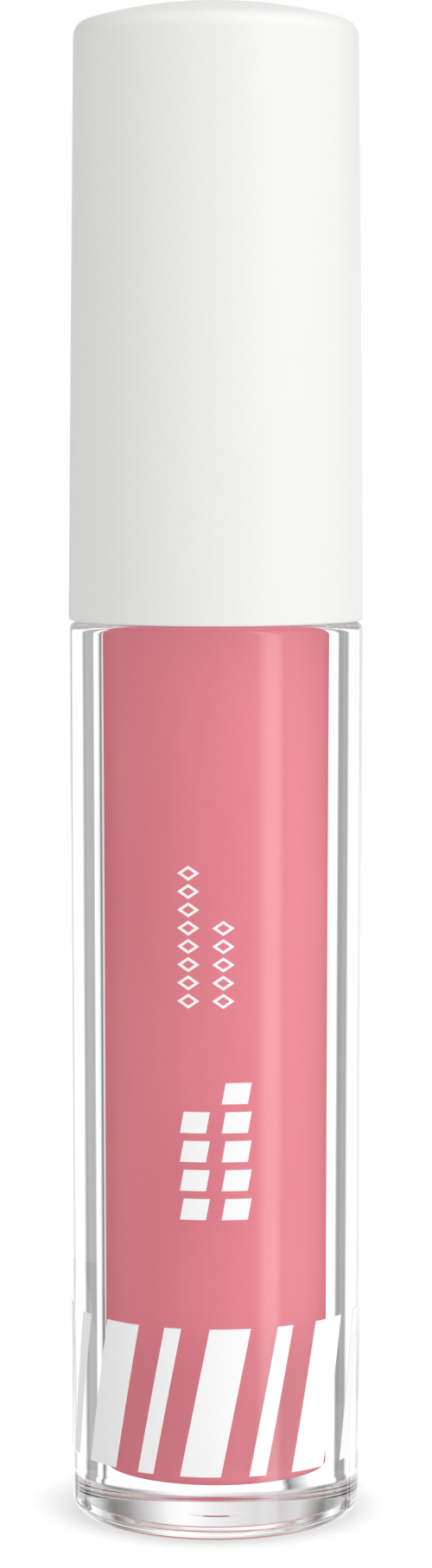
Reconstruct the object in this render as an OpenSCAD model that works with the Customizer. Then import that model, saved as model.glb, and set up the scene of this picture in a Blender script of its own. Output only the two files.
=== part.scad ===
// Lip gloss tube: a thick-walled clear tube of tinted gloss, closed by a tall
// matte screw cap that carries a flocked wand.
// Millimetres, +Z up. The origin is the centre of the foot, on the surface
// that the tube stands on, and Z is the axis of the tube, the thread and the wand.

/* [Clear tube] */
// Outer radius at the foot
tube_r_foot = 9.32; // [9.2:0.02:9.5]
// Outer radius at the shoulder: the mould's draft widens the tube upwards
tube_r_top = 9.48; // [9.4:0.02:9.7]
// Height of the shoulder above the table
shoulder_z = 58; // [50:0.1:60]
// Radius of the rounded foot corner
foot_corner = 1.0; // [0.4:0.1:1.4]
// Radius of the rounded shoulder edge
shoulder_corner = 0.5; // [0.2:0.05:0.8]
// Thickness of the solid base under the gloss
floor_t = 3; // [2:0.1:5]
// Bore radius at the floor
bore_r_floor = 4.44; // [4.3:0.01:4.6]
// Bore radius at the shoulder
bore_r_top = 4.62; // [4.6:0.01:4.7]
// Radius of the flat recess in the underside, at its roof
recess_r = 5.3; // [5:0.1:7]
// Depth of the recess
recess_d = 0.47; // [0.2:0.01:1]
// How much wider the recess is at the foot
recess_flare = 0.15; // [0.05:0.05:0.5]
// Radius of the moulding gate's dimple
gate_r = 1.25; // [0.8:0.05:2]
// Depth of the gate's dimple
gate_d = 0.12; // [0.05:0.01:0.3]

/* [Neck and thread] */
// Outer radius of the neck
neck_r = 6.2; // [6:0.05:6.4]
// Height of the neck above the shoulder
neck_h = 10.9; // [10:0.1:12]
// Rise of the thread in one turn
pitch = 3; // [2.5:0.1:3.2]
// Turns of the thread on the neck
neck_turns = 1.25; // [1:0.25:1.5]
// Turns of the thread in the cap
cap_turns = 1; // [0.75:0.25:1]
// How far a thread stands out of its wall
thread_h = 0.8; // [0.6:0.05:0.85]
// Height of the lowest point of the neck's thread above the shoulder
thread_start = 3.4; // [3:0.1:4]

/* [Cap] */
// Outer radius at the cap's mouth
cap_r_mouth = 9.48; // [9.3:0.02:9.6]
// Radius the cap's drafted wall would have at its full height
cap_r_top = 9.04; // [8.9:0.02:9.3]
// Gap between the shoulder and the cap
cap_gap = 0.12; // [0.1:0.02:0.5]
// Length of the cap
cap_h = 39.18; // [36:0.02:42]
// Radius of the domed top
dome_r = 30; // [24:1:60]
// Radius that blends the dome into the wall
dome_corner = 1.1; // [1:0.1:2.5]
// Inner radius of the outer shell
shell_r_in = 8; // [7.95:0.05:8.05]

/* [Wand] */
// Radius of the stem
stem_r = 1.85; // [1.7:0.05:1.95]
// Radius of the stem where the wiper's lip closes on it
relief_r = 1.6; // [1.4:0.05:1.7]
// Height of the tip of the applicator above the table
tip_z = 6.2; // [5.8:0.1:8]
// Length of the flocked applicator
tip_len = 14; // [12:0.5:16]
// Thickness of the flock
flock_t = 0.3; // [0.2:0.05:0.4]

/* [Gloss] */
// Height of the gloss above the table
gloss_z = 60.5; // [59:0.1:61]
// Radius of the path that the wand keeps open in the gloss
wand_path_r = 2.6; // [2.5:0.05:3]

/* [Print] */
// Thickness of the white ink
ink_t = 0.04; // [0.02:0.01:0.08]
// Bottom of the slanted bars round the foot
band_z = 4.3; // [2:0.1:6]
// Height of the slanted bars
band_h = 9.5; // [6:0.1:12]
// Number of wide bars across the front, with a narrow one beside each
band_count = 5; // [3:2:5]
// Angle between one wide bar and the next
band_step = 45; // [40:1:48]

/* [Hidden] */
$fn = 96;

// Running clearance between pieces that slide or nest
clear = 0.02;
neck_top = shoulder_z + neck_h;
cap_z = shoulder_z + cap_gap;
cap_top = cap_z + cap_h;

// The wiper's flange lies on the neck, and the seal ring on the flange
flange_t = 0.8;
ring_z = neck_top + flange_t;
ring_t = 1.2;
web_z = ring_z + ring_t;
web_t = 1.4;
orifice_r = 2.45;

// Inner cap: a threaded skirt below the web, a sleeve and a stem socket above
skirt_z = shoulder_z + 0.9;
skirt_r_in = neck_r + thread_h + 0.15;
skirt_r_out = shell_r_in - 0.15;
sleeve_z = web_z + 14;
socket_r_in = 2.55;
socket_r_out = 3.7;
socket_z = web_z + 11;
bead_z = web_z + 7;

// Printed marks: widths of the slanted bars, how far they lean, and the foot
// and spacing of each kind of small mark
wide_bar = 2.6;
narrow_bar = 1.1;
bar_lean = 2.4;
bold_z = 20.8;
bold_step = 1.84;
fine_z = 34.2;
fine_step = 1.15;

// The applicator's flock ends where the stem starts
stem_z = tip_z + tip_len;
spigot_r = 1.0;
spigot_h = 6.5;

// ---- Shared outlines --------------------------------------------------------

// Points on an arc about [x, y] from angle a to angle b, in n steps
function arc(x, y, r, a, b, n = 8) =
    [for (i = [0:n]) [x + r * cos(a + (b - a) * i / n), y + r * sin(a + (b - a) * i / n)]];

// Radius of the tube's drafted wall at a height
function wall_r(z) = tube_r_foot + (tube_r_top - tube_r_foot) * z / shoulder_z;

// Radius of the drafted bore at a height
function bore_r(z) =
    bore_r_floor + (bore_r_top - bore_r_floor) * (z - floor_t) / (shoulder_z - floor_t);

// Radius of the cap's drafted wall at a height
function cap_r(z) = cap_r_mouth - (cap_r_mouth - cap_r_top) * (z - cap_z) / cap_h;

// A ring whose section is a rectangle
module ring(r_in, r_out, z, h)
    translate([0, 0, z])
        difference() {
            cylinder(r = r_out, h = h);
            translate([0, 0, -1]) cylinder(r = r_in, h = h + 2);
        }

// A right-hand thread ridge. Its root is at radius root and its crest at radius
// crest, so a crest inside the root makes an inward thread. Both ends fade out
// over fade degrees. At angle 0 its middle is at height z.
module ridge(root, crest, z, turns, root_w = 1.3, crest_w = 0.55, fade = 40) {
    steps_per_turn = 40;
    steps = round(turns * steps_per_turn);
    function along(i) = 360 * i / steps_per_turn;
    function out(i) = min(1, 0.12 + min(along(i), along(steps) - along(i)) / fade);
    function tip(i) = root + (crest - root) * out(i);
    function at(i, r, dz) =
        [r * cos(along(i)), r * sin(along(i)), z + pitch * along(i) / 360 + dz];
    // The section starts a little way inside the wall that carries it
    sunk = root - sign(crest - root) * 0.3;
    points = [for (i = [0:steps])
        each [at(i, sunk, -root_w / 2), at(i, tip(i), -crest_w / 2),
              at(i, tip(i), crest_w / 2), at(i, sunk, root_w / 2)]];
    sides = [for (i = [0:steps - 1], k = [0:3])
        each [[4 * i + k, 4 * i + (k + 1) % 4, 4 * i + 4 + k],
              [4 * i + (k + 1) % 4, 4 * i + 4 + (k + 1) % 4, 4 * i + 4 + k]]];
    first = [[0, 3, 2], [0, 2, 1]];
    last = [for (t = [[0, 1, 2], [0, 2, 3]]) [for (k = t) 4 * steps + k]];
    faces = concat(sides, first, last);
    polyhedron(points, crest > root ? faces : [for (f = faces) [f[2], f[1], f[0]]]);
}

// ---- Tube --------------------------------------------------------------------

// Thick-walled clear tube: recessed foot with a gate dimple, rounded shoulder,
// threaded neck and a flat-bottomed bore
module tube_body()
    color([0.92, 0.95, 0.96, 0.35])
        union() {
            rotate_extrude()
                polygon(concat(
                    [[0, recess_d + gate_d], [gate_r - 0.1, recess_d + gate_d],
                        [gate_r, recess_d], [recess_r, recess_d],
                        [recess_r + recess_flare, 0]],
                    arc(wall_r(0) - foot_corner, foot_corner, foot_corner, -90, 0),
                    arc(tube_r_top - shoulder_corner, shoulder_z - shoulder_corner,
                        shoulder_corner, 0, 90),
                    arc(neck_r + 0.3, shoulder_z + 0.3, 0.3, 270, 180, 4),
                    [[neck_r, neck_top - 0.3], [neck_r - 0.3, neck_top],
                     [bore_r(neck_top) + 0.25, neck_top],
                     [bore_r(neck_top), neck_top - 0.4]],
                    arc(bore_r_floor - 0.45, floor_t + 0.45, 0.45, 0, -90, 6),
                    [[0, floor_t]]));
            ridge(neck_r, neck_r + thread_h, shoulder_z + thread_start, neck_turns);
        }

// The gloss itself, with the path of the wand left open
module gloss_fill()
    color([0.88, 0.49, 0.55])
        rotate_extrude()
            polygon(concat(
                [[0, floor_t + clear]],
                arc(bore_r_floor - clear - 0.45, floor_t + clear + 0.45, 0.45, -90, 0, 6),
                [[bore_r(gloss_z) - clear, gloss_z], [wand_path_r, gloss_z],
                 [wand_path_r, tip_z - 0.6], [0, tip_z - 0.6]]));

// Soft insert pressed into the neck: a flange on the neck's rim, a plug with
// two sealing beads and a funnel that ends in the wiping lip
module wiper() {
    plug_r = bore_r(neck_top) - 0.08;
    lip_z = gloss_z + 0.6;
    color([0.95, 0.95, 0.93])
        rotate_extrude()
            polygon([
                [orifice_r, lip_z], [3.2, lip_z + 0.1], [plug_r - 0.35, lip_z + 0.9],
                [plug_r, lip_z + 1.5],
                [plug_r, lip_z + 2.6], [plug_r + 0.06, lip_z + 2.9], [plug_r, lip_z + 3.2],
                [plug_r, lip_z + 4.8], [plug_r + 0.06, lip_z + 5.1], [plug_r, lip_z + 5.4],
                [plug_r, neck_top], [neck_r - 0.45, neck_top],
                [neck_r - 0.45, ring_z], [4.2, ring_z],
                [3.85, ring_z - 0.5], [3.75, lip_z + 2.2], [3.3, lip_z + 1.1],
                [orifice_r, lip_z + 0.45]]);
}

// ---- Printed ink ---------------------------------------------------------------

// A skin of ink on the drafted wall, kept where the children cut through it
module ink(z, h)
    color("white")
        intersection() {
            rotate_extrude()
                polygon([[wall_r(z), z], [wall_r(z) + ink_t, z],
                         [wall_r(z + h) + ink_t, z + h], [wall_r(z + h), z + h]]);
            children();
        }

// A flat shape, drawn as [distance round the wall, height], pushed out through
// the wall at an angle from the front
module stamp(angle)
    rotate([0, 0, angle])
        translate([0, -5, 0])
            rotate([90, 0, 0])
                linear_extrude(height = 6)
                    children();

// A bar of width w whose head leans over by lean
module bar(w, z, h, lean = 0)
    polygon([[-w / 2, z], [w / 2, z], [w / 2 + lean, z + h], [-w / 2 + lean, z + h]]);

// The outline of a lozenge, drawn with a line of width line
module lozenge(w, z, h, line)
    translate([0, z + h / 2])
        difference() {
            polygon([[-w / 2, 0], [0, -h / 2], [w / 2, 0], [0, h / 2]]);
            scale(1 - 2 * line / h)
                polygon([[-w / 2, 0], [0, -h / 2], [w / 2, 0], [0, h / 2]]);
        }

// Bold slanted bars round the front of the foot: wide ones, with narrow ones
// between them and outside them
module base_print()
    ink(band_z, band_h)
        for (i = [0:2 * band_count])
            stamp(band_step * (i - band_count) / 2)
                translate([-bar_lean / 2, 0])
                    bar(i % 2 == 1 ? wide_bar : narrow_bar, band_z - 1, band_h + 2, bar_lean);

// Columns of small marks above the band: two of bold bars, then two of fine
// lozenges, each column with its own count
module side_print()
    ink(bold_z, fine_z + 8 * fine_step - bold_z)
        union() {
            for (column = [[-8.9, 4], [7.2, 5]], i = [0:column[1] - 1])
                stamp(column[0]) bar(1.65, bold_z + bold_step * i, bold_step - 0.5, 0.25);
            for (column = [[-10.6, 8], [2.8, 5]], i = [0:column[1] - 1])
                stamp(column[0]) lozenge(1.4, fine_z + fine_step * i, fine_step - 0.2, 0.2);
        }

// ---- Wand and cap ------------------------------------------------------------

// The film of gloss that clings to the stem and comes out with it
module gloss_coat()
    color([0.88, 0.49, 0.55])
        ring(stem_r + 0.08, stem_r + 0.25, stem_z + 4, shoulder_z - stem_z - 4.6);

// Soft gasket between the wiper's flange and the inner cap's web
module seal_ring()
    color([0.9, 0.9, 0.88])
        ring(stem_r + 0.2, neck_r + 0.7, ring_z, ring_t);

// Matte outer shell: a drafted wall with a shallow domed top
module cap_shell() {
    dome_z = cap_top - dome_r;
    blend_r = cap_r(cap_top - 3) - dome_corner;
    blend_z = dome_z + sqrt(pow(dome_r - dome_corner, 2) - pow(blend_r, 2));
    blend_a = atan2(blend_z - dome_z, blend_r);
    lip = 0.12;
    top_t = 1.9;
    color([0.95, 0.95, 0.95])
        rotate_extrude()
            polygon(concat(
                [[shell_r_in + lip, cap_z]],
                arc(cap_r_mouth - lip, cap_z + lip, lip, -90, 0, 4),
                arc(blend_r, blend_z, dome_corner, 0, blend_a, 10),
                arc(0, dome_z, dome_r, blend_a, 90, 10),
                [[0, cap_top - top_t]],
                arc(shell_r_in - 1, cap_top - top_t - 1.5, 1, 90, 0, 6),
                [[shell_r_in, cap_z + lip]]));
}

// Inner cap: threaded skirt, web over the seal, sleeve with ribs that grip the
// shell, and a socket that holds the stem by a snap bead
module inner_cap() {
    grip_ribs = 16;
    gussets = 4;
    color([0.97, 0.97, 0.97])
        difference() {
            union() {
                ring(skirt_r_in, skirt_r_out, skirt_z, web_z - skirt_z);
                translate([0, 0, web_z]) cylinder(r = skirt_r_out, h = web_t);
                ring(skirt_r_out - 1, skirt_r_out, web_z + web_t, sleeve_z - web_z - web_t);
                translate([0, 0, web_z + web_t])
                    cylinder(r = socket_r_out, h = socket_z - web_z - web_t);
                for (i = [0:grip_ribs - 1])
                    rotate([0, 0, 360 * i / grip_ribs])
                        translate([skirt_r_out - 0.3, -0.35, skirt_z + 2])
                            cube([0.4, 0.7, sleeve_z - skirt_z - 3]);
                for (i = [0:gussets - 1])
                    rotate([0, 0, 360 * i / gussets + 45])
                        translate([socket_r_out - 0.5, -0.4, web_z + web_t - 0.1])
                            cube([skirt_r_out - 1 - socket_r_out + 0.8, 0.8, 6]);
                ridge(skirt_r_in, neck_r + 0.15, shoulder_z + thread_start - pitch / 2,
                      cap_turns);
            }
            translate([0, 0, web_z - 1]) cylinder(r = socket_r_in, h = sleeve_z);
            ring(socket_r_in - 0.5, socket_r_in + 0.25, bead_z, 1);
        }
}

// Stem: a head with the snap bead, a plain shaft with a waist at the wiper's
// lip, and a socket in its lower end for the applicator
module wand_stem() {
    head_r = socket_r_in - 0.04;
    waist_z = gloss_z - 1;
    waist_top = neck_top - 0.4;
    color([0.96, 0.96, 0.96])
        difference() {
            rotate_extrude()
                polygon([
                    [0, stem_z], [stem_r - 0.1, stem_z], [stem_r, stem_z + 0.3],
                    [stem_r, waist_z - 0.6], [relief_r, waist_z],
                    [relief_r, waist_top - 0.6], [stem_r, waist_top],
                    [stem_r, web_z + 0.05], [head_r - 0.15, web_z + 0.05],
                    [head_r, web_z + 0.4],
                    [head_r, bead_z + 0.1], [head_r + 0.2, bead_z + 0.3],
                    [head_r + 0.2, bead_z + 0.6], [head_r, bead_z + 0.9],
                    [head_r, socket_z - 0.4], [head_r - 0.4, socket_z], [0, socket_z]]);
            translate([0, 0, stem_z - 1]) cylinder(r = spigot_r + clear, h = spigot_h + 1.4);
        }
}

// The applicator's slanted paddle: round where it meets the stem, flattened in
// the middle, and cut off at a slant at the tip. grow adds to it all round.
module doe_foot(grow) {
    waist = stem_r - flock_t - 0.15;
    hull($fn = 32) {
        translate([0, 0, stem_z - 1.2]) cylinder(r = waist + grow, h = 0.6);
        translate([0, 0, stem_z - 6])
            scale([1, 0.68, 1]) cylinder(r = 1.85 + grow, h = 1.5);
        translate([0, -0.25, tip_z + 2.7])
            rotate([38, 0, 0])
                scale([1, 0.42, 1.25]) sphere(r = 1.75 + grow, $fn = 32);
    }
}

// Moulded core of the applicator, with the spigot that plugs into the stem
module applicator_core()
    color([0.93, 0.9, 0.9])
        union() {
            doe_foot(0);
            translate([0, 0, stem_z - 0.9]) cylinder(r = stem_r - 0.3, h = 0.88);
            translate([0, 0, stem_z - 0.5]) cylinder(r = spigot_r, h = spigot_h + 0.5);
        }

// Short fibres glued all over the core, wet with gloss
module flock_layer()
    color([0.87, 0.45, 0.52])
        difference() {
            doe_foot(flock_t);
            doe_foot(0);
            translate([0, 0, stem_z - 0.9]) cylinder(r = stem_r - 0.3 + clear, h = 2);
        }

tube_body();
gloss_fill();
wiper();
base_print();
side_print();
gloss_coat();
seal_ring();
cap_shell();
inner_cap();
wand_stem();
applicator_core();
flock_layer();
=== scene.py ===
"""Lip gloss tube: a thick clear tube of pink gloss, closed by a tall matte white
screw cap that carries a flocked wand.

The sections follow the tube as it is printed, filled and closed: clear tube, ink,
gloss, wiper, seal, wand, cap. Lengths in a section are in millimetres, and are
turned into metres when its mesh is made.
"""
import math

import bpy
import numpy as np
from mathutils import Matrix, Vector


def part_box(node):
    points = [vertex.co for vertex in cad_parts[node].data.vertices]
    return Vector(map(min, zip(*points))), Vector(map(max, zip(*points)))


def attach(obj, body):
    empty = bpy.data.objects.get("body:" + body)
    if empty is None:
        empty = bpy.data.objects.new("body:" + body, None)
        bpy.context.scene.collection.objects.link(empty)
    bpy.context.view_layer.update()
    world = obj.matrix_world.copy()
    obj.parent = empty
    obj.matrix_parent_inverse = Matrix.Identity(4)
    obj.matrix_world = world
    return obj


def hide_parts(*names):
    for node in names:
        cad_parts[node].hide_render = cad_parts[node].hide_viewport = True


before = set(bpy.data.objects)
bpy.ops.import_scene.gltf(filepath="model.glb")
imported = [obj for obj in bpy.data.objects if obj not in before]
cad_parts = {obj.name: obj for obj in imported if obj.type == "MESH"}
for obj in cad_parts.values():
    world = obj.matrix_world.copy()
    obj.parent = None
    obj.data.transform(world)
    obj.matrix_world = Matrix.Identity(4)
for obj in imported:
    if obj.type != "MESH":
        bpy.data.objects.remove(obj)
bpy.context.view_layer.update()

# ---- Camera ------------------------------------------------------------------
# A long lens stands level with the shoulder and tips down a little, so that the
# foot shows its near edge and the cap its domed top.

camera = bpy.data.objects.new("camera", bpy.data.cameras.new("camera"))
camera.data.lens = 95.2
camera.data.sensor_width = 36
camera.location = (0, -0.2665, 0.0715)
camera.rotation_euler = (math.radians(90 - 5.15), 0, 0)
bpy.context.collection.objects.link(camera)
bpy.context.scene.camera = camera


# ---- Clear tube ----------------------------------------------------------------
# One injection-moulded piece of clear copolyester with walls 5 mm thick: a solid
# base with a flat recess and the gate's dimple under it, a rounded foot, a flat
# shoulder, and a neck with a right-hand thread.


def rounded(corners):
    """An outline whose corners are arcs. Each corner is (r, z, radius). The arc
    touches both sides at radius / tan(half the corner's angle) from the corner,
    and is drawn in steps of 7 degrees or less. Radius 0 keeps the corner sharp."""
    corners = np.array(corners, float)
    points = []
    for i, (r, z, radius) in enumerate(corners):
        here = np.array([r, z])
        if radius == 0:
            points.append(here[None])
            continue
        before = corners[i - 1, :2] - here
        after = corners[(i + 1) % len(corners), :2] - here
        before /= np.linalg.norm(before)
        after /= np.linalg.norm(after)
        half = math.acos(np.clip(before @ after, -1, 1)) / 2
        start = here + before * radius / math.tan(half)
        end = here + after * radius / math.tan(half)
        middle = here + (before + after) / np.linalg.norm(before + after) * radius / math.sin(half)
        steps = max(2, math.ceil((math.pi - 2 * half) / math.radians(7)))
        a, b = (math.atan2(*(p - middle)[::-1]) for p in (start, end))
        turn = (b - a + math.pi) % (2 * math.pi) - math.pi
        angle = a + turn * np.linspace(0, 1, steps + 1)
        points.append(middle + radius * np.stack([np.cos(angle), np.sin(angle)], 1))
    return np.concatenate(points)


def solid(name, parts, sharp=32):
    """One mesh from closed surfaces, each (points in mm, faces). Faces keep their
    own numbers plus the count of the points before them. Edges that turn by
    more than sharp degrees stay crisp, and the rest are shaded smooth."""
    mesh = bpy.data.meshes.new(name)
    points, faces, count = [], [], 0
    for part_points, part_faces in parts:
        points.append(part_points)
        faces += [tuple(face + count) for face in part_faces]
        count += len(part_points)
    mesh.from_pydata(np.concatenate(points) * 0.001, [], faces)
    mesh.shade_smooth()
    mesh.set_sharp_from_angle(angle=math.radians(sharp))
    piece = bpy.data.objects.new(name, mesh)
    bpy.context.collection.objects.link(piece)
    return piece


def turned(outline, around=256):
    """A surface of revolution. Point k of ring i is at (r cos a, r sin a, z), with
    a = k / around of a turn. An outline that starts and ends on the axis is
    closed by a pole at each end, and any other closes on itself."""
    outline = np.asarray(outline, float)
    poles = outline[0, 0] == 0
    rings = outline[1:-1] if poles else outline
    angle = np.arange(around) * 2 * np.pi / around
    points = np.stack(
        [
            rings[:, :1] * np.cos(angle),
            rings[:, :1] * np.sin(angle),
            rings[:, 1:] * np.ones(around),
        ],
        -1,
    ).reshape(-1, 3)
    i, k = np.meshgrid(np.arange(len(rings) - poles), np.arange(around), indexing="ij")
    along, beside = (i + 1) % len(rings), (k + 1) % around
    corners = (i * around + k, i * around + beside, along * around + beside, along * around + k)
    faces = list(np.stack(corners, -1).reshape(-1, 4))
    if poles:
        k = np.arange(around)
        low, high, last = len(points), len(points) + 1, (len(rings) - 1) * around
        faces += list(np.stack([np.full(around, low), (k + 1) % around, k], 1))
        faces += list(np.stack([last + k, last + (k + 1) % around, np.full(around, high)], 1))
        ends = [[0, 0, outline[0, 1]], [0, 0, outline[-1, 1]]]
        points = np.concatenate([points, ends])
    return points, faces


def finer(outline, radius, step):
    """The outline with its one long upright stretch at this radius cut into steps
    of at most this height, evenly spaced."""
    on_wall = np.isclose(outline[:, 0], radius)
    i = np.flatnonzero(on_wall[:-1] & on_wall[1:])[0]
    low, high = outline[i, 1], outline[i + 1, 1]
    between = np.linspace(low, high, math.ceil(abs(high - low) / step) + 1)[1:-1]
    added = np.stack([np.full_like(between, radius), between], 1)
    return np.concatenate([outline[: i + 1], added, outline[i + 1 :]])


def eased(share):
    """0 below 0, 1 above 1, and 3 s^2 - 2 s^3 between."""
    share = np.clip(share, 0, 1)
    return share * share * (3 - 2 * share)


pitch, root_width, crest_width = 3.0, 1.3, 0.55


def threaded(points, wall, height, z, turns, fade=0.12):
    """Points of a wall at one radius, pushed out into a right-hand thread. At t turns
    the thread's middle is at height z + pitch * t. The push is full within half the
    crest's width of it, eases to none at half the root's, and eases in and out over
    fade turns."""
    radius = np.hypot(points[:, 0], points[:, 1])
    on_wall = np.isclose(radius, wall)
    turn = np.arctan2(points[:, 1], points[:, 0]) / (2 * np.pi) % 1
    push = np.zeros_like(radius)
    for lap in range(math.ceil(turns)):
        t = turn + lap
        from_edge = root_width / 2 - np.abs(points[:, 2] - z - pitch * t)
        across = from_edge / ((root_width - crest_width) / 2)
        along = np.minimum(t, turns - t) / fade
        push = np.maximum(push, eased(across) * eased(along))
    grown = 1 + np.where(on_wall, push * height / wall, 0)
    return points * np.stack([grown, grown, np.ones_like(grown)], 1)


def finish_of(name, colour, roughness, **sockets):
    """A material with one Principled shader, whose sockets are set by name."""
    material = bpy.data.materials.new(name)
    material.use_nodes = True
    shader = material.node_tree.nodes["Principled BSDF"]
    shader.inputs["Base Color"].default_value = (*colour, 1)
    shader.inputs["Roughness"].default_value = roughness
    for socket, value in sockets.items():
        shader.inputs[socket.replace("_", " ")].default_value = value
    return material, material.node_tree.nodes, material.node_tree.links, shader


def noise_of(nodes, links, scale, detail=2.0, stretch=(1, 1, 1)):
    """Noise on Object coordinates, as many cycles a metre as scale says."""
    place = nodes.new("ShaderNodeTexCoord")
    mapping = nodes.new("ShaderNodeMapping")
    noise = nodes.new("ShaderNodeTexNoise")
    mapping.inputs["Scale"].default_value = stretch
    noise.inputs["Scale"].default_value = scale
    noise.inputs["Detail"].default_value = detail
    links.new(place.outputs["Object"], mapping.inputs["Vector"])
    links.new(mapping.outputs["Vector"], noise.inputs["Vector"])
    return noise.outputs["Fac"]


def ramp_of(nodes, links, value, low, high, start=0.3, end=0.7):
    """A value spread from low to high as its source goes from start to end."""
    spread = nodes.new("ShaderNodeMapRange")
    spread.inputs["From Min"].default_value = start
    spread.inputs["From Max"].default_value = end
    spread.inputs["To Min"].default_value = low
    spread.inputs["To Max"].default_value = high
    links.new(value, spread.inputs["Value"])
    return spread.outputs["Result"]


def bump_of(nodes, links, height, shader, strength, distance):
    """Bump from a height, distance metres deep at full strength."""
    bump = nodes.new("ShaderNodeBump")
    bump.inputs["Strength"].default_value = strength
    bump.inputs["Distance"].default_value = distance
    links.new(height, bump.inputs["Height"])
    links.new(bump.outputs["Normal"], shader.inputs["Normal"])


def span(node):
    """The lowest and the highest corner of a CAD node, in millimetres."""
    return (np.array(corner) * 1000 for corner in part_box(node))


_, tube_high = span("tube_body")
shoulder_r, neck_top = tube_high[0], tube_high[2]
neck_height, neck_r, thread_height, thread_start, thread_turns = 10.9, 6.2, 0.8, 3.4, 1.25
shoulder_z = neck_top - neck_height
foot_r, floor_z = 9.32, 3.0


def wall_r(z):
    """Radius of the tube's drafted wall at a height."""
    return foot_r + (shoulder_r - foot_r) * z / shoulder_z


def bore_r(z):
    """Radius of the drafted bore at a height."""
    return 4.44 + (4.62 - 4.44) * (z - floor_z) / (shoulder_z - floor_z)


recess_r, recess_z = 5.3, 0.47
gate_r, gate_z = 1.25, 0.53
tube_outline = rounded(
    [
        (0, gate_z, 0),
        (gate_r - 0.3, gate_z, 0.3),
        (gate_r, recess_z, 0.3),
        (recess_r, recess_z, 0.12),
        (recess_r + 0.15, 0, 0.1),
        (foot_r, 0, 1.0),
        (shoulder_r, shoulder_z, 0.5),
        (neck_r, shoulder_z, 0.3),
        (neck_r, neck_top, 0.3),
        (bore_r(neck_top), neck_top, 0.25),
        (bore_r(floor_z), floor_z, 0.45),
        (0, floor_z, 0),
    ]
)
tube_points, tube_faces = turned(finer(tube_outline, neck_r, step=0.06))
tube_points = threaded(tube_points, neck_r, thread_height, shoulder_z + thread_start, thread_turns)
tube = solid("clear_tube", [(tube_points, tube_faces)])
clear_plastic, nodes, links, shader = finish_of(
    "clear_copolyester", (0.985, 0.99, 0.995), 0.02, Transmission_Weight=1.0, IOR=1.57
)
handling = noise_of(nodes, links, 900, detail=4)
links.new(ramp_of(nodes, links, handling, 0.0, 0.035), shader.inputs["Roughness"])


def let_light_through(nodes, links, shader, lamps=0.8, scattered=0.97):
    """Clear plastic that lamps and scattered light pass straight through, because
    light bent twice by a wall is too rare to find. The camera still sees it bent."""
    path = nodes.new("ShaderNodeLightPath")
    surface = shader.outputs["BSDF"]
    for ray, share in (("Is Diffuse Ray", scattered), ("Is Shadow Ray", lamps)):
        through = nodes.new("ShaderNodeBsdfTransparent")
        through.inputs["Color"].default_value = (share, share, share, 1)
        choice = nodes.new("ShaderNodeMixShader")
        links.new(path.outputs[ray], choice.inputs[0])
        links.new(surface, choice.inputs[1])
        links.new(through.outputs[0], choice.inputs[2])
        surface = choice.outputs[0]
    links.new(surface, nodes["Material Output"].inputs["Surface"])


let_light_through(nodes, links, shader)
tube.data.materials.append(clear_plastic)
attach(tube, "tube")
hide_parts("tube_body")

# ---- Printed ink ------------------------------------------------------------------
# White ink, screen-printed on the tube as it rolls and cured hard. A band of
# slanted bars runs round the foot, with columns of small marks above it.


def stamped(outline, rows=2, columns=9, thick=0.04):
    """A skin of ink over a four-sided mark. outline holds the corners as [degrees
    round from the front, height], in the order foot left, foot right, head right,
    head left. The mark is a bilinear grid between them, laid on the wall's radius
    at each height. The back face lies 0.01 under the wall and the front on top."""
    outline = np.array(outline, float)
    v, u = np.meshgrid(np.linspace(0, 1, rows), np.linspace(0, 1, columns), indexing="ij")
    u, v = u[..., None], v[..., None]
    flat = (outline[0] * (1 - u) + outline[1] * u) * (1 - v)
    flat += (outline[3] * (1 - u) + outline[2] * u) * v
    angle, z = np.radians(flat[..., 0]), flat[..., 1]
    skins = []
    for lift in (-0.01, thick):
        r = wall_r(z) + lift
        skins.append(np.stack([r * np.sin(angle), -r * np.cos(angle), z], -1).reshape(-1, 3))
    i, k = np.meshgrid(np.arange(rows - 1), np.arange(columns - 1), indexing="ij")
    cells = [i * columns + k, i * columns + k + 1, (i + 1) * columns + k + 1, (i + 1) * columns + k]
    front = np.stack(cells, -1).reshape(-1, 4) + rows * columns
    back = (front - rows * columns)[:, ::-1]
    rim = np.concatenate(
        [
            np.arange(columns),
            np.arange(1, rows) * columns + columns - 1,
            (rows - 1) * columns + np.arange(columns - 2, -1, -1),
            np.arange(rows - 2, 0, -1) * columns,
        ]
    )
    beside = np.roll(rim, -1)
    edge = np.stack([rim, beside, beside + rows * columns, rim + rows * columns], 1)
    return np.concatenate(skins), list(front) + list(back) + list(edge)


def degrees(distance, z):
    """The angle that a distance round the wall takes at a height."""
    return math.degrees(distance / wall_r(z))


def slanted(middle, width, low, high, lean):
    """A bar as a stamp: its foot is width wide about the angle middle, and its
    head is moved round the wall by lean."""
    across, over = degrees(width / 2, low), degrees(lean, low)
    return stamped(
        [
            (middle - across, low),
            (middle + across, low),
            (middle + across + over, high),
            (middle - across + over, high),
        ],
        rows=9,
    )


band_low, band_high = (corner[2] for corner in span("base_print"))
wide_bar, narrow_bar, bar_lean, bar_every = 2.6, 1.1, 1.9, 22.5
bars = []
for step in range(-5, 6):
    width = wide_bar if step % 2 == 0 else narrow_bar
    bars.append(slanted(bar_every * step - 6.1, width, band_low, band_high, bar_lean))
band = solid("foot_bars", bars)

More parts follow.
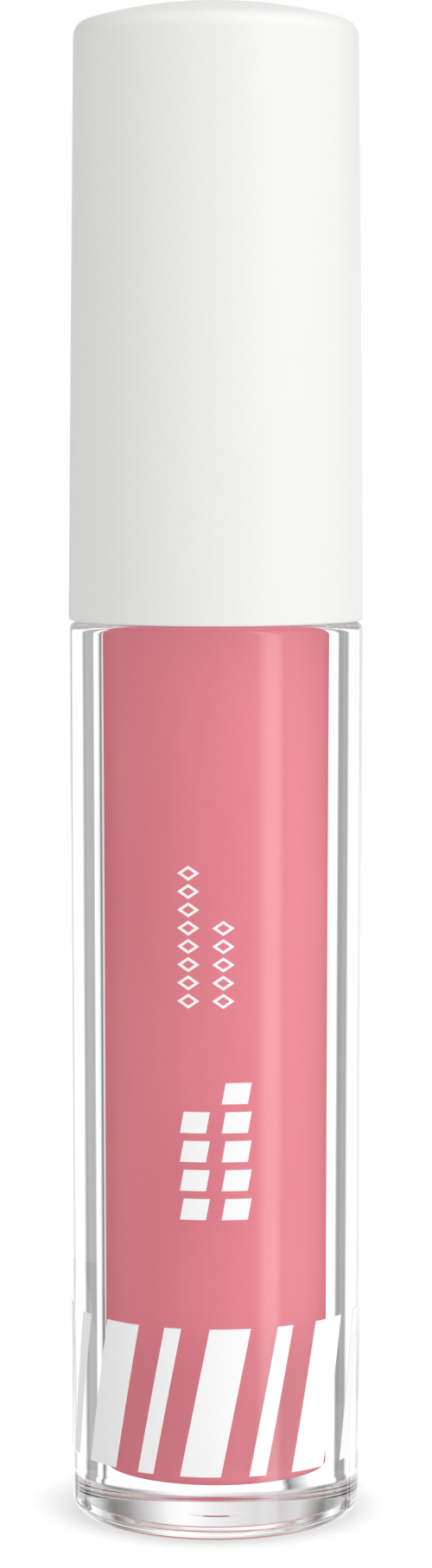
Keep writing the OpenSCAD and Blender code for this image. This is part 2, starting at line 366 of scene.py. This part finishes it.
marks = []
for middle, count in ((-8.9, 4), (7.2, 5)):
    for step in range(count):
        low = 20.8 + 1.84 * step
        marks.append(slanted(middle, 1.65, low, low + 1.34, 0.25))
for middle, count in ((-10.6, 8), (2.8, 5)):
    for step in range(count):
        low, half = 34.2 + 1.15 * step + 0.475, degrees(0.7, 34)
        tips = np.array([(-half, 0), (0, -0.475), (half, 0), (0, 0.475)]) + (middle, low)
        inner = (tips - (middle, low)) * 0.58 + (middle, low)
        for side in range(4):
            after = (side + 1) % 4
            corners = [tips[side], tips[after], inner[after], inner[side]]
            marks.append(stamped(corners, rows=2, columns=3))
columns_of_marks = solid("front_marks", marks)

white_ink, nodes, links, shader = finish_of("white_ink", (0.98, 0.98, 0.98), 0.4)
mesh_grain = noise_of(nodes, links, 9000, detail=1)
bump_of(nodes, links, mesh_grain, shader, 0.15, 0.00001)
for piece, node in ((band, "base_print"), (columns_of_marks, "side_print")):
    piece.data.materials.append(white_ink)
    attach(piece, "tube")
    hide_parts(node)

# ---- Gloss ----------------------------------------------------------------------
# Tinted gel, filled nearly to the wiper. It wets the bore all over, so there is
# no air between it and the plastic, and it parts round the wand. Hiding it from
# scattered light keeps the table round the foot from being tinted by it.

_, gloss_high = span("gloss_fill")
gloss_top = gloss_high[2]
path_r, path_z, wetting = 2.6, 5.6, 0.02
gloss_outline = rounded(
    [
        (0, floor_z - wetting, 0),
        (bore_r(floor_z) + wetting, floor_z - wetting, 0.45),
        (bore_r(gloss_top) + wetting, gloss_top + 0.35, 0),
        (bore_r(gloss_top) - 0.35, gloss_top, 0.5),
        (path_r, gloss_top, 0.1),
        (path_r, path_z, 0.3),
        (0, path_z, 0),
    ]
)
gloss = solid("pink_gloss", [turned(gloss_outline)])
gloss_gel, nodes, links, shader = finish_of(
    "pink_gloss_gel", (0.86, 0.215, 0.275), 0.25, Specular_IOR_Level=0.0
)


def tinted(nodes, links, shader, share, first, second):
    """Base colour that goes from the first colour to the second with the share."""
    tint = nodes.new("ShaderNodeMix")
    tint.data_type = "RGBA"
    tint.inputs["A"].default_value = (*first, 1)
    tint.inputs["B"].default_value = (*second, 1)
    links.new(share, tint.inputs["Factor"])
    links.new(tint.outputs["Result"], shader.inputs["Base Color"])


swirls = noise_of(nodes, links, 160, detail=4, stretch=(1, 1, 0.4))
paler = ramp_of(nodes, links, swirls, 0, 1)
tinted(nodes, links, shader, paler, (0.84, 0.20, 0.262), (0.88, 0.228, 0.288))
links.new(ramp_of(nodes, links, swirls, 0.2, 0.32), shader.inputs["Roughness"])
gloss.data.materials.append(gloss_gel)
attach(gloss, "tube")
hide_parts("gloss_fill")
gloss.visible_diffuse = False

# ---- Wiper -----------------------------------------------------------------------
# Soft insert of natural polyethylene, pressed into the neck by a plug with two
# sealing beads. Its funnel ends in a thin lip that scrapes the wand as it leaves.

wiper_low, wiper_high = span("wiper")
lip_z, seal_z, flange_r = wiper_low[2], wiper_high[2], wiper_high[0]
plug_r = bore_r(neck_top) - 0.08
bead_r = plug_r + 0.06
wiper_outline = rounded(
    [
        (2.45, lip_z, 0.12),
        (3.2, lip_z + 0.1, 0.3),
        (plug_r - 0.35, lip_z + 0.9, 0.3),
        (plug_r, lip_z + 1.5, 0.3),
        (plug_r, lip_z + 2.6, 0.1),
        (bead_r, lip_z + 2.9, 0.15),
        (plug_r, lip_z + 3.2, 0.1),
        (plug_r, lip_z + 4.8, 0.1),
        (bead_r, lip_z + 5.1, 0.15),
        (plug_r, lip_z + 5.4, 0.1),
        (plug_r, neck_top, 0.05),
        (flange_r, neck_top, 0.15),
        (flange_r, seal_z, 0.15),
        (4.2, seal_z, 0.1),
        (3.85, seal_z - 0.5, 0.4),
        (3.75, lip_z + 2.2, 0.5),
        (3.3, lip_z + 1.1, 0.4),
        (2.45, lip_z + 0.45, 0.12),
    ]
)
wiper = solid("wiper_insert", [turned(wiper_outline, 128)])
natural_plastic, nodes, links, shader = finish_of(
    "natural_polyethylene", (0.86, 0.85, 0.82), 0.4, Subsurface_Weight=0.3,
    Subsurface_Scale=0.0006,
)


def stained(nodes, links, shader, clean, stain, low, high):
    """Clean plastic that is smeared with gloss below: the stain is full at height
    low, gone at height high, both in metres, and its edge wanders with noise."""
    place = nodes.new("ShaderNodeTexCoord")
    parts = nodes.new("ShaderNodeSeparateXYZ")
    links.new(place.outputs["Object"], parts.inputs[0])
    wander = ramp_of(nodes, links, noise_of(nodes, links, 700, detail=3), -0.0009, 0.0009)
    edge = nodes.new("ShaderNodeMath")
    links.new(parts.outputs["Z"], edge.inputs[0])
    links.new(wander, edge.inputs[1])
    share = ramp_of(nodes, links, edge.outputs[0], 1, 0, start=low, end=high)
    tinted(nodes, links, shader, share, clean, stain)
    links.new(ramp_of(nodes, links, share, 0.4, 0.12, 0, 1), shader.inputs["Roughness"])


stained(
    nodes, links, shader, (0.86, 0.85, 0.82), (0.82, 0.28, 0.34),
    (lip_z + 0.6) * 0.001, (lip_z + 4.5) * 0.001,
)
wiper.data.materials.append(natural_plastic)
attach(wiper, "tube")
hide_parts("wiper")

# ---- Seal ring ---------------------------------------------------------------------
# Gasket punched from white closed-cell foam. It lies on the wiper's flange, and
# the inner cap presses it down, which leaves a shallow groove on both faces.

ring_low, ring_high = span("seal_ring")
ring_foot, ring_top, ring_r = ring_low[2], ring_high[2], ring_high[0]
groove = 0.09
seal_outline = rounded(
    [
        (2.05, ring_foot, 0.12),
        (3.9, ring_foot, 0.3),
        (4.2, ring_foot + groove, 0.3),
        (flange_r + 0.1, ring_foot + groove, 0.3),
        (flange_r + 0.4, ring_foot, 0.3),
        (ring_r, ring_foot, 0.15),
        (ring_r, ring_top, 0.15),
        (flange_r + 0.4, ring_top, 0.3),
        (flange_r + 0.1, ring_top - groove, 0.3),
        (4.2, ring_top - groove, 0.3),
        (3.9, ring_top, 0.3),
        (2.05, ring_top, 0.12),
    ]
)
seal = solid("seal_gasket", [turned(seal_outline, 128)])
white_foam, nodes, links, shader = finish_of("closed_cell_foam", (0.87, 0.87, 0.85), 0.75)
cells = nodes.new("ShaderNodeTexVoronoi")
cells.inputs["Scale"].default_value = 6000
place = nodes.new("ShaderNodeTexCoord")
links.new(place.outputs["Object"], cells.inputs["Vector"])
bump_of(nodes, links, cells.outputs["Distance"], shader, 0.5, 0.00005)
links.new(ramp_of(nodes, links, cells.outputs["Distance"], 0.6, 0.85, 0, 1), shader.inputs["Roughness"])
seal.data.materials.append(white_foam)
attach(seal, "seal")
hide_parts("seal_ring")

# ---- Wand stem ------------------------------------------------------------------------
# Moulded in white polypropylene: a plain shaft with a waist where the wiper's lip
# closes on it, a head with a snap bead, and a socket for the applicator.

stem_low, stem_high = span("wand_stem")
stem_z, head_z = stem_low[2], stem_high[2]
stem_r, waist_r, head_r = 1.85, 1.6, 2.51
waist_z, waist_top = gloss_top - 1, neck_top - 0.4
web_z = ring_top
socket_r, socket_top = 1.02, stem_z + 6.9
snap_z = web_z + 7.45
stem_outline = rounded(
    [
        (0, socket_top, 0),
        (socket_r, socket_top, 0.1),
        (socket_r, stem_z, 0.08),
        (stem_r - 0.1, stem_z, 0.1),
        (stem_r, stem_z + 0.3, 0.3),
        (stem_r, waist_z - 0.6, 0.5),
        (waist_r, waist_z, 0.5),
        (waist_r, waist_top - 0.6, 0.5),
        (stem_r, waist_top, 0.3),
        (stem_r, web_z + 0.05, 0.02),
        (head_r - 0.15, web_z + 0.05, 0.1),
        (head_r, web_z + 0.4, 0.2),
        (head_r, snap_z - 0.35, 0.1),
        (head_r + 0.2, snap_z - 0.15, 0.08),
        (head_r + 0.2, snap_z + 0.15, 0.08),
        (head_r, snap_z + 0.45, 0.1),
        (head_r, head_z - 0.4, 0.1),
        (head_r - 0.4, head_z, 0.1),
        (0, head_z, 0),
    ]
)
stem = solid("wand_shaft", [turned(stem_outline, 128)])
stem_plastic, nodes, links, shader = finish_of(
    "stem_polypropylene", (0.88, 0.88, 0.87), 0.3, Subsurface_Weight=0.2,
    Subsurface_Scale=0.0005,
)
stained(
    nodes, links, shader, (0.88, 0.88, 0.87), (0.85, 0.42, 0.47),
    (gloss_top - 1.5) * 0.001, (gloss_top + 1.5) * 0.001,
)
drawn_lines = noise_of(nodes, links, 3000, detail=2, stretch=(1, 1, 0.03))
bump_of(nodes, links, drawn_lines, shader, 0.1, 0.00001)
stem.data.materials.append(stem_plastic)
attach(stem, "cap")
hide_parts("wand_stem")

# ---- Applicator ---------------------------------------------------------------------------
# A slanted paddle: a moulded core, plugged into the stem by its spigot, with a
# coat of short nylon fibres that stand on glue all over it and carry the gloss.

core_plastic, nodes, links, shader = finish_of("core_plastic", (0.85, 0.56, 0.59), 0.3)
smears = noise_of(nodes, links, 1200, detail=3)
wetter = ramp_of(nodes, links, smears, 0, 1)
tinted(nodes, links, shader, wetter, (0.85, 0.70, 0.71), (0.84, 0.42, 0.47))
links.new(ramp_of(nodes, links, smears, 0.4, 0.15), shader.inputs["Roughness"])
bump_of(nodes, links, smears, shader, 0.1, 0.00002)
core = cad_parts["applicator_core"]
core.data.materials.clear()
core.data.materials.append(core_plastic)

neck_of_paddle, ball_z, slant = stem_z - 0.6, stem_z - 11.3, math.radians(38)


def farthest(toward, grow):
    """The point of the paddle farthest along each direction: the best of a disc
    under the stem, a flattened disc below it, and a flat ball tipped by the slant.
    Together these points make the tight skin round all three."""
    x, y, z = toward.T
    flat = np.hypot(x, y) + 1e-12
    disc = np.stack([x / flat, y / flat, 0 * x], 1) * (1.4 + grow)
    disc[:, 2] = np.where(z > 0, neck_of_paddle, neck_of_paddle - 0.6)
    wide, thick = 1.85 + grow, 0.68 * (1.85 + grow)
    reach = np.hypot(wide * x, thick * y) + 1e-12
    oval = np.stack([wide**2 * x / reach, thick**2 * y / reach, 0 * x], 1)
    oval[:, 2] = np.where(z > 0, stem_z - 4.5, stem_z - 6)
    axes = np.diag([1, 0.42, 1.25]) * (1.75 + grow)
    tip = np.array(
        [[1, 0, 0], [0, math.cos(slant), -math.sin(slant)], [0, math.sin(slant), math.cos(slant)]]
    ) @ axes
    along = toward @ tip
    ball = (along / np.linalg.norm(along, axis=1)[:, None]) @ tip.T + (0, -0.25, ball_z)
    each = np.stack([disc, oval, ball])
    best = np.argmax((each * toward).sum(-1), 0)
    return each[best, np.arange(len(toward))]


def paddle(grow, rings=72, around=96):
    """Directions on a sphere, in rings from straight down to straight up, each with
    the farthest point of the paddle along it, and a pole at each end."""
    polar = (np.arange(1, rings + 1) / (rings + 1))[:, None] * np.pi
    angle = np.arange(around) * 2 * np.pi / around
    toward = np.stack(
        [
            np.sin(polar) * np.cos(angle),
            np.sin(polar) * np.sin(angle),
            -np.cos(polar) * np.ones(around),
        ],
        -1,
    ).reshape(-1, 3)
    ends = np.array([[0, 0, -1], [0, 0, 1]], float)
    shape = np.concatenate([[[0, 0]], np.ones((rings, 2)), [[0, 1]]])
    faces = turned(shape, around)[1]
    toward = np.concatenate([toward, ends])
    return farthest(toward, grow), faces, toward


def fibres(count, short, long, thick, seed):
    """Tapered fibres with three sides, spread over the paddle by the area of its
    skin. Each stands on a random point of a random face, along the skin's outward
    direction there plus a random lean, and is sunk a little at its root."""
    draw = np.random.default_rng(seed)
    skin, faces, toward = paddle(0.06)
    quads = np.array([face for face in faces if len(face) == 4])
    a, b, d = (skin[quads[:, i]] for i in (0, 1, 3))
    area = np.linalg.norm(np.cross(b - a, d - a), axis=1)
    pick = draw.choice(len(quads), count, p=area / area.sum())
    u, v = draw.random((2, count, 1))
    corners, outward = skin[quads[pick]], toward[quads[pick]]
    blend = np.concatenate([(1 - u) * (1 - v), u * (1 - v), u * v, (1 - u) * v], 1)[..., None]
    root, lean = (corners * blend).sum(1), (outward * blend).sum(1)
    lean /= np.linalg.norm(lean, axis=1)[:, None]
    lean += draw.normal(0, 0.35, (count, 3))
    lean /= np.linalg.norm(lean, axis=1)[:, None]
    side = np.cross(lean, (0.3, 0.2, 1.0))
    side /= np.linalg.norm(side, axis=1)[:, None]
    other = np.cross(lean, side)
    length = draw.uniform(short, long, (count, 1))
    rings = []
    for along, width in ((-0.05, thick), (length, thick * 0.4)):
        for turn in np.arange(3) * 2 * np.pi / 3:
            across = side * math.cos(turn) + other * math.sin(turn)
            rings.append(root + lean * along + across * width)
    points = np.stack(rings, 1).reshape(-1, 3)
    start = 6 * np.arange(count)[:, None]
    ends = (start + (0, 2, 1), start + (3, 4, 5))
    walls = [start + (k, (k + 1) % 3, 3 + (k + 1) % 3, 3 + k) for k in range(3)]
    return points, [face for part in (*walls, *ends) for face in part]


skin, skin_faces, _ = paddle(0.08)
flock = solid("flocked_paddle", [(skin, skin_faces), fibres(7000, 0.1, 0.19, 0.022, 11)], sharp=180)
wet_flock, nodes, links, shader = finish_of(
    "gloss_soaked_flock", (0.74, 0.24, 0.30), 0.35, Sheen_Weight=0.3, Sheen_Roughness=0.5
)
clumps = noise_of(nodes, links, 1800, detail=3)
paler = ramp_of(nodes, links, clumps, 0, 1)
tinted(nodes, links, shader, paler, (0.66, 0.17, 0.23), (0.88, 0.42, 0.47))
links.new(ramp_of(nodes, links, clumps, 0.25, 0.6), shader.inputs["Roughness"])
flock.data.materials.append(wet_flock)
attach(flock, "cap")
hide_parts("flock_layer")

# ---- Film of gloss ---------------------------------------------------------------------------
# What the wiper leaves on the stem: a thin wet film, thicker in slow waves where
# it has begun to run down. It is gloss, and comes out of the tube with the wand.

film_low, film_high = span("gloss_coat")
film_r, film_foot, film_top = film_high[0], film_low[2], film_high[2]


def film(rows=150, around=96, inner=1.93):
    """A sleeve round the stem. Its outside swells by the product of three slow
    waves along it and round it, never past the film's own radius, and closes
    down to the inside within 1 mm of each end."""
    z = np.linspace(film_foot, film_top, rows)
    outside = np.stack([np.full(rows, film_r), z], 1)
    inside = [[inner, film_top], [inner, film_foot]]
    points, faces = turned(np.concatenate([outside, inside]), around)
    turn = np.arctan2(points[:, 1], points[:, 0])
    height = points[:, 2]
    wave = 0.5 + 0.5 * np.sin(0.55 * height + 1.3 * np.sin(turn)) * np.cos(turn + 0.21 * height)
    ends = eased(np.minimum(height - film_foot, film_top - height) / 1.0 + 0.05)
    swollen = inner + (film_r - inner) * (0.25 + 0.75 * wave) * ends
    is_out = np.hypot(points[:, 0], points[:, 1]) > inner + 0.01
    scale = np.where(is_out, swollen / film_r, 1)
    return points * np.stack([scale, scale, np.ones_like(scale)], 1), faces


coat = solid("gloss_film", [film()], sharp=60)
wet_gloss, nodes, links, shader = finish_of(
    "wet_gloss_film", (0.80, 0.20, 0.26), 0.12, Coat_Weight=0.6, Coat_Roughness=0.05
)
shimmer = noise_of(nodes, links, 2500, detail=2)
links.new(ramp_of(nodes, links, shimmer, 0.08, 0.2), shader.inputs["Roughness"])
coat.data.materials.append(wet_gloss)
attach(coat, "gloss_film")
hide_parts("gloss_coat")

# ---- Inner cap -------------------------------------------------------------------------------
# Moulded in white polypropylene: a skirt with the inward thread, a web over the
# seal, a sleeve whose 16 ribs grip the shell, and a socket for the stem's head.

inner_low, inner_high = span("inner_cap")
skirt_z, sleeve_top = inner_low[2], inner_high[2]
skirt_in, skirt_out, web_top = 7.15, 7.85, web_z + 1.4
stem_socket_r, socket_wall_r = 2.55, 3.7
inner_outline = rounded(
    [
        (skirt_in, skirt_z, 0.15),
        (skirt_out, skirt_z, 0.15),
        (skirt_out, sleeve_top, 0.15),
        (skirt_out - 1, sleeve_top, 0.15),
        (skirt_out - 1, web_top, 0.4),
        (socket_wall_r, web_top, 0.4),
        (socket_wall_r, head_z, 0.15),
        (stem_socket_r, head_z, 0.15),
        (stem_socket_r, snap_z + 0.55, 0.05),
        (stem_socket_r + 0.25, snap_z + 0.55, 0.1),
        (stem_socket_r + 0.25, snap_z - 0.45, 0.1),
        (stem_socket_r, snap_z - 0.45, 0.05),
        (stem_socket_r, web_z, 0.1),
        (skirt_in, web_z, 0.25),
    ]
)


def inward_thread(root, crest, z, turns, fade=40):
    """A right-hand ridge that stands in from a wall at radius root to radius crest.
    At angle a its section is a trapezium about height z + pitch * a / one turn. Its
    back is sunk 0.3 into the wall, and it fades to an eighth at both ends."""
    steps = round(turns * 96)
    angle = np.linspace(0, turns * 360, steps + 1)
    out = np.minimum(1, 0.12 + np.minimum(angle, angle[-1] - angle) / fade)
    reach, sunk = root + (crest - root) * out, np.full(steps + 1, root + 0.3)
    radius = np.stack([sunk, reach, reach, sunk], 1)
    lift = np.array([-root_width, -crest_width, crest_width, root_width]) / 2
    turn = np.radians(angle)[:, None]
    points = np.stack(
        [radius * np.cos(turn), radius * np.sin(turn), z + pitch * turn / (2 * np.pi) + lift], -1
    ).reshape(-1, 3)
    i, k = np.meshgrid(np.arange(steps), np.arange(4), indexing="ij")
    corners = (4 * i + k, 4 * i + (k + 1) % 4, 4 * i + 4 + (k + 1) % 4, 4 * i + 4 + k)
    faces = list(np.stack(corners, -1).reshape(-1, 4))
    return points, faces + [np.array([3, 2, 1, 0]), 4 * steps + np.arange(4)]


def fins(count, first, near, far, half_width, low, high, slope=0.0):
    """Upright fins round the axis, count of them from the angle first, from radius
    near to radius far. The top of each falls by slope from near to far."""
    turn = np.radians(first + np.arange(count) * 360 / count)[:, None]
    across = np.array([-1, 1, 1, -1] * 2) * half_width
    out = np.array([near, near, far, far] * 2)
    up = np.array([low] * 4 + [high, high, high - slope, high - slope])
    points = np.stack(
        [
            out * np.cos(turn) - across * np.sin(turn),
            out * np.sin(turn) + across * np.cos(turn),
            up * np.ones((count, 1)),
        ],
        -1,
    ).reshape(-1, 3)
    box = np.array([[0, 1, 2, 3], [7, 6, 5, 4], [0, 4, 5, 1], [1, 5, 6, 2], [2, 6, 7, 3], [3, 7, 4, 0]])
    return points, list((box[None] + 8 * np.arange(count)[:, None, None]).reshape(-1, 4))


liner = solid(
    "inner_cap_liner",
    [
        turned(inner_outline, 160),
        inward_thread(skirt_in, neck_r + 0.15, shoulder_z + 1.9, 1.0),
        fins(16, 0, skirt_out - 0.3, skirt_out + 0.1, 0.35, skirt_z + 2, sleeve_top - 1),
        fins(4, 45, socket_wall_r - 0.5, skirt_out - 0.7, 0.4, web_top - 0.1, web_top + 5.9, 1.5),
    ],
)
liner_plastic, nodes, links, shader = finish_of("liner_polypropylene", (0.87, 0.87, 0.86), 0.3)
flow = noise_of(nodes, links, 500, detail=3)
links.new(ramp_of(nodes, links, flow, 0.24, 0.38), shader.inputs["Roughness"])
bump_of(nodes, links, noise_of(nodes, links, 2500, detail=2), shader, 0.1, 0.00001)
liner.data.materials.append(liner_plastic)
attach(liner, "cap")
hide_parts("inner_cap")
liner.visible_diffuse = False

# ---- Cap shell ---------------------------------------------------------------------
# Tall outer cap, moulded in white plastic with a fine matte grain. Its wall is
# drafted, its top is a shallow dome, and it grips the inner cap's ribs. Like the
# inner cap, it doesn't stop the scattered light that the clear neck leads down.

cap_low, cap_high = span("cap_shell")
mouth_z, mouth_r, cap_top = cap_low[2], cap_high[0], cap_high[2]
dome_r, blend_r, crown_r = 30.0, 1.1, 9.04
dome_z = cap_top - dome_r
rim_z = dome_z + math.sqrt(dome_r**2 - crown_r**2)
mouth = [(0, mouth_z, 0), (mouth_r, mouth_z, 0.12), (crown_r + 0.02, rim_z, 0), (0, rim_z, 0)]
outside = rounded(mouth)[1:-2]
wall_slope = (mouth_r - crown_r) / (cap_top - mouth_z)
blend_x = mouth_r - wall_slope * (cap_top - 3 - mouth_z) - blend_r
blend_z = dome_z + math.sqrt((dome_r - blend_r) ** 2 - blend_x**2)
blend_end = math.atan2(blend_z - dome_z, blend_x)
corner_turn = np.linspace(0, blend_end, 14)
corner = np.stack([blend_x + blend_r * np.cos(corner_turn), blend_z + blend_r * np.sin(corner_turn)], 1)
dome_turn = np.linspace(blend_end, np.pi / 2, 16)[1:]
dome = np.stack([dome_r * np.cos(dome_turn), dome_z + dome_r * np.sin(dome_turn)], 1)
dome[-1, 0] = 0
pocket_r, pocket_top = 8.0, cap_top - 1.9
pocket = rounded(
    [
        (0, pocket_top, 0),
        (pocket_r, pocket_top, 1.0),
        (pocket_r, mouth_z, 0.2),
        (pocket_r + 1, mouth_z, 0),
    ]
)
shell_outline = np.concatenate([pocket[:-1], outside, corner, dome])
shell = solid("white_cap", [turned(shell_outline)])
matte_white, nodes, links, shader = finish_of("matte_white_cap", (0.87, 0.87, 0.86), 0.42)
grain = noise_of(nodes, links, 5200, detail=3)
links.new(ramp_of(nodes, links, grain, 0.38, 0.47), shader.inputs["Roughness"])
bump_of(nodes, links, grain, shader, 0.25, 0.00002)
shell.data.materials.append(matte_white)
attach(shell, "cap")
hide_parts("cap_shell")
shell.visible_diffuse = False

# ---- Studio ------------------------------------------------------------------------
# A white table under a ring of soft panels: a white sweep behind, grey gaps
# beside it, and the key panel in front to the right. A wide lamp overhead lights
# the table alone, so that it stays white and the foot casts a soft shadow on it.
# Close round the foot the table's colour is also darkened: a painted contact shadow.

table = bpy.data.meshes.new("table")
table.from_pydata([(-3, -3, 0), (3, -3, 0), (3, 3, 0), (-3, 3, 0)], [], [(0, 1, 2, 3)])
floor = bpy.data.objects.new("floor", table)
bpy.context.collection.objects.link(floor)
white_table, nodes, links, shader = finish_of(
    "white_table", (0.95, 0.95, 0.95), 0.6, Specular_IOR_Level=0.0
)
seen_directly = nodes.new("ShaderNodeLightPath").outputs["Is Camera Ray"]
# Painted shade: an occlusion ramp darkens the table's colour where other things stand within 4 mm, a
# painted contact shadow round the foot.
painted_contact_shadow = nodes.new("ShaderNodeAmbientOcclusion")
painted_contact_shadow.inputs["Distance"].default_value = 0.004
shade = ramp_of(nodes, links, painted_contact_shadow.outputs["AO"], 0.72, 0.95, 0.5, 1)
table_colour = ramp_of(nodes, links, seen_directly, 0.52, 0.95, 0, 1)
links.new(shade, table_colour.node.inputs["To Max"])
links.new(table_colour, shader.inputs["Base Color"])
floor.data.materials.append(white_table)
floor.visible_transmission = False
floor.visible_glossy = False

lamp = bpy.data.objects.new("table_lamp", bpy.data.lights.new("table_lamp", "SUN"))
lamp.data.energy = 1.35
lamp.data.angle = math.radians(120)
bpy.context.collection.objects.link(lamp)
only_table = bpy.data.collections.new("lit_by_table_lamp")
only_table.objects.link(floor)
lamp.light_linking.receiver_collection = only_table

# The panels, each as its bearing from straight behind, in degrees towards the
# right, and its brightness: those at the table's level, and those above it
level_panels = [
    (-180, 1.06), (-140, 0.91), (-100, 0.84), (-88, 0.5), (-78, 0.42), (-73, 1.15), (-58, 1.15),
    (-56, 0.36), (-48, 0.19), (-46.6, 1.15), (-33, 1.15), (-24, 0.35), (-22, 0.05), (-20, 1.15),
    (40.6, 1.15), (41.2, 0.06), (43, 0.06), (43.8, 1.15), (46.6, 1.15), (47.8, 0.33), (57, 0.33),
    (59, 1.15), (78, 1.15), (81, 0.5), (90, 1.15), (110, 1.6), (126, 1.6), (131, 3.4), (140, 3.4),
    (148, 1.36), (180, 1.06),
]
raised_panels = [
    (-180, 1.06), (-140, 0.91), (-100, 0.84), (-60, 0.7), (-46, 0.3), (-38, 0.2), (-33, 0.4),
    (-27, 0.68), (-18, 0.58), (-10, 0.74), (0, 0.88), (8, 1.05), (14, 0.98), (21, 0.65), (30, 0.28),
    (37, 0.2), (44, 0.4), (60, 0.85), (90, 1.15), (110, 1.6), (126, 1.6), (131, 3.4), (140, 3.4),
    (148, 1.36), (180, 1.06),
]
world = bpy.data.worlds.new("studio")
bpy.context.scene.world = world
world.use_nodes = True
nodes, links = world.node_tree.nodes, world.node_tree.links
direction = nodes.new("ShaderNodeTexCoord")
parts = nodes.new("ShaderNodeSeparateXYZ")
bearing = nodes.new("ShaderNodeMath")
bearing.operation = "ARCTAN2"
links.new(direction.outputs["Generated"], parts.inputs[0])
links.new(parts.outputs["X"], bearing.inputs[0])
links.new(parts.outputs["Y"], bearing.inputs[1])
share = ramp_of(nodes, links, bearing.outputs[0], 0, 1, start=-math.pi, end=math.pi)
brightest = max(value for _, value in level_panels)


def ring_of(panels_round):
    """Brightness by bearing, as a share of the brightest panel's."""
    ring = nodes.new("ShaderNodeValToRGB")
    while len(ring.color_ramp.elements) < len(panels_round):
        ring.color_ramp.elements.new(1.0)
    for element, (turn, value) in zip(ring.color_ramp.elements, panels_round):
        element.position = (turn + 180) / 360
        element.color = (value / brightest,) * 3 + (1,)
    links.new(share, ring.inputs["Fac"])
    return ring.outputs["Color"]


raised = ramp_of(nodes, links, parts.outputs["Z"], 0, 1, start=0.03, end=0.16)
either = nodes.new("ShaderNodeMix")
either.data_type = "RGBA"
links.new(raised, either.inputs["Factor"])
links.new(ring_of(level_panels), either.inputs["A"])
links.new(ring_of(raised_panels), either.inputs["B"])
panels = nodes["Background"]
dimmer = ramp_of(nodes, links, parts.outputs["Z"], brightest, brightest * 0.72, start=0.35, end=0.95)
links.new(dimmer, panels.inputs["Strength"])
links.new(either.outputs["Result"], panels.inputs["Color"])
backdrop = nodes.new("ShaderNodeBackground")
backdrop.inputs["Color"].default_value = (1, 1, 1, 1)
choice = nodes.new("ShaderNodeMixShader")
seen = nodes.new("ShaderNodeLightPath")
links.new(seen.outputs["Is Camera Ray"], choice.inputs[0])
links.new(panels.outputs[0], choice.inputs[1])
links.new(backdrop.outputs[0], choice.inputs[2])
links.new(choice.outputs[0], nodes["World Output"].inputs["Surface"])

bpy.context.scene.view_settings.view_transform = "Standard"
bpy.context.scene.cycles.transmission_bounces = 16
bpy.context.scene.cycles.max_bounces = 24
bpy.context.scene.cycles.glossy_bounces = 20
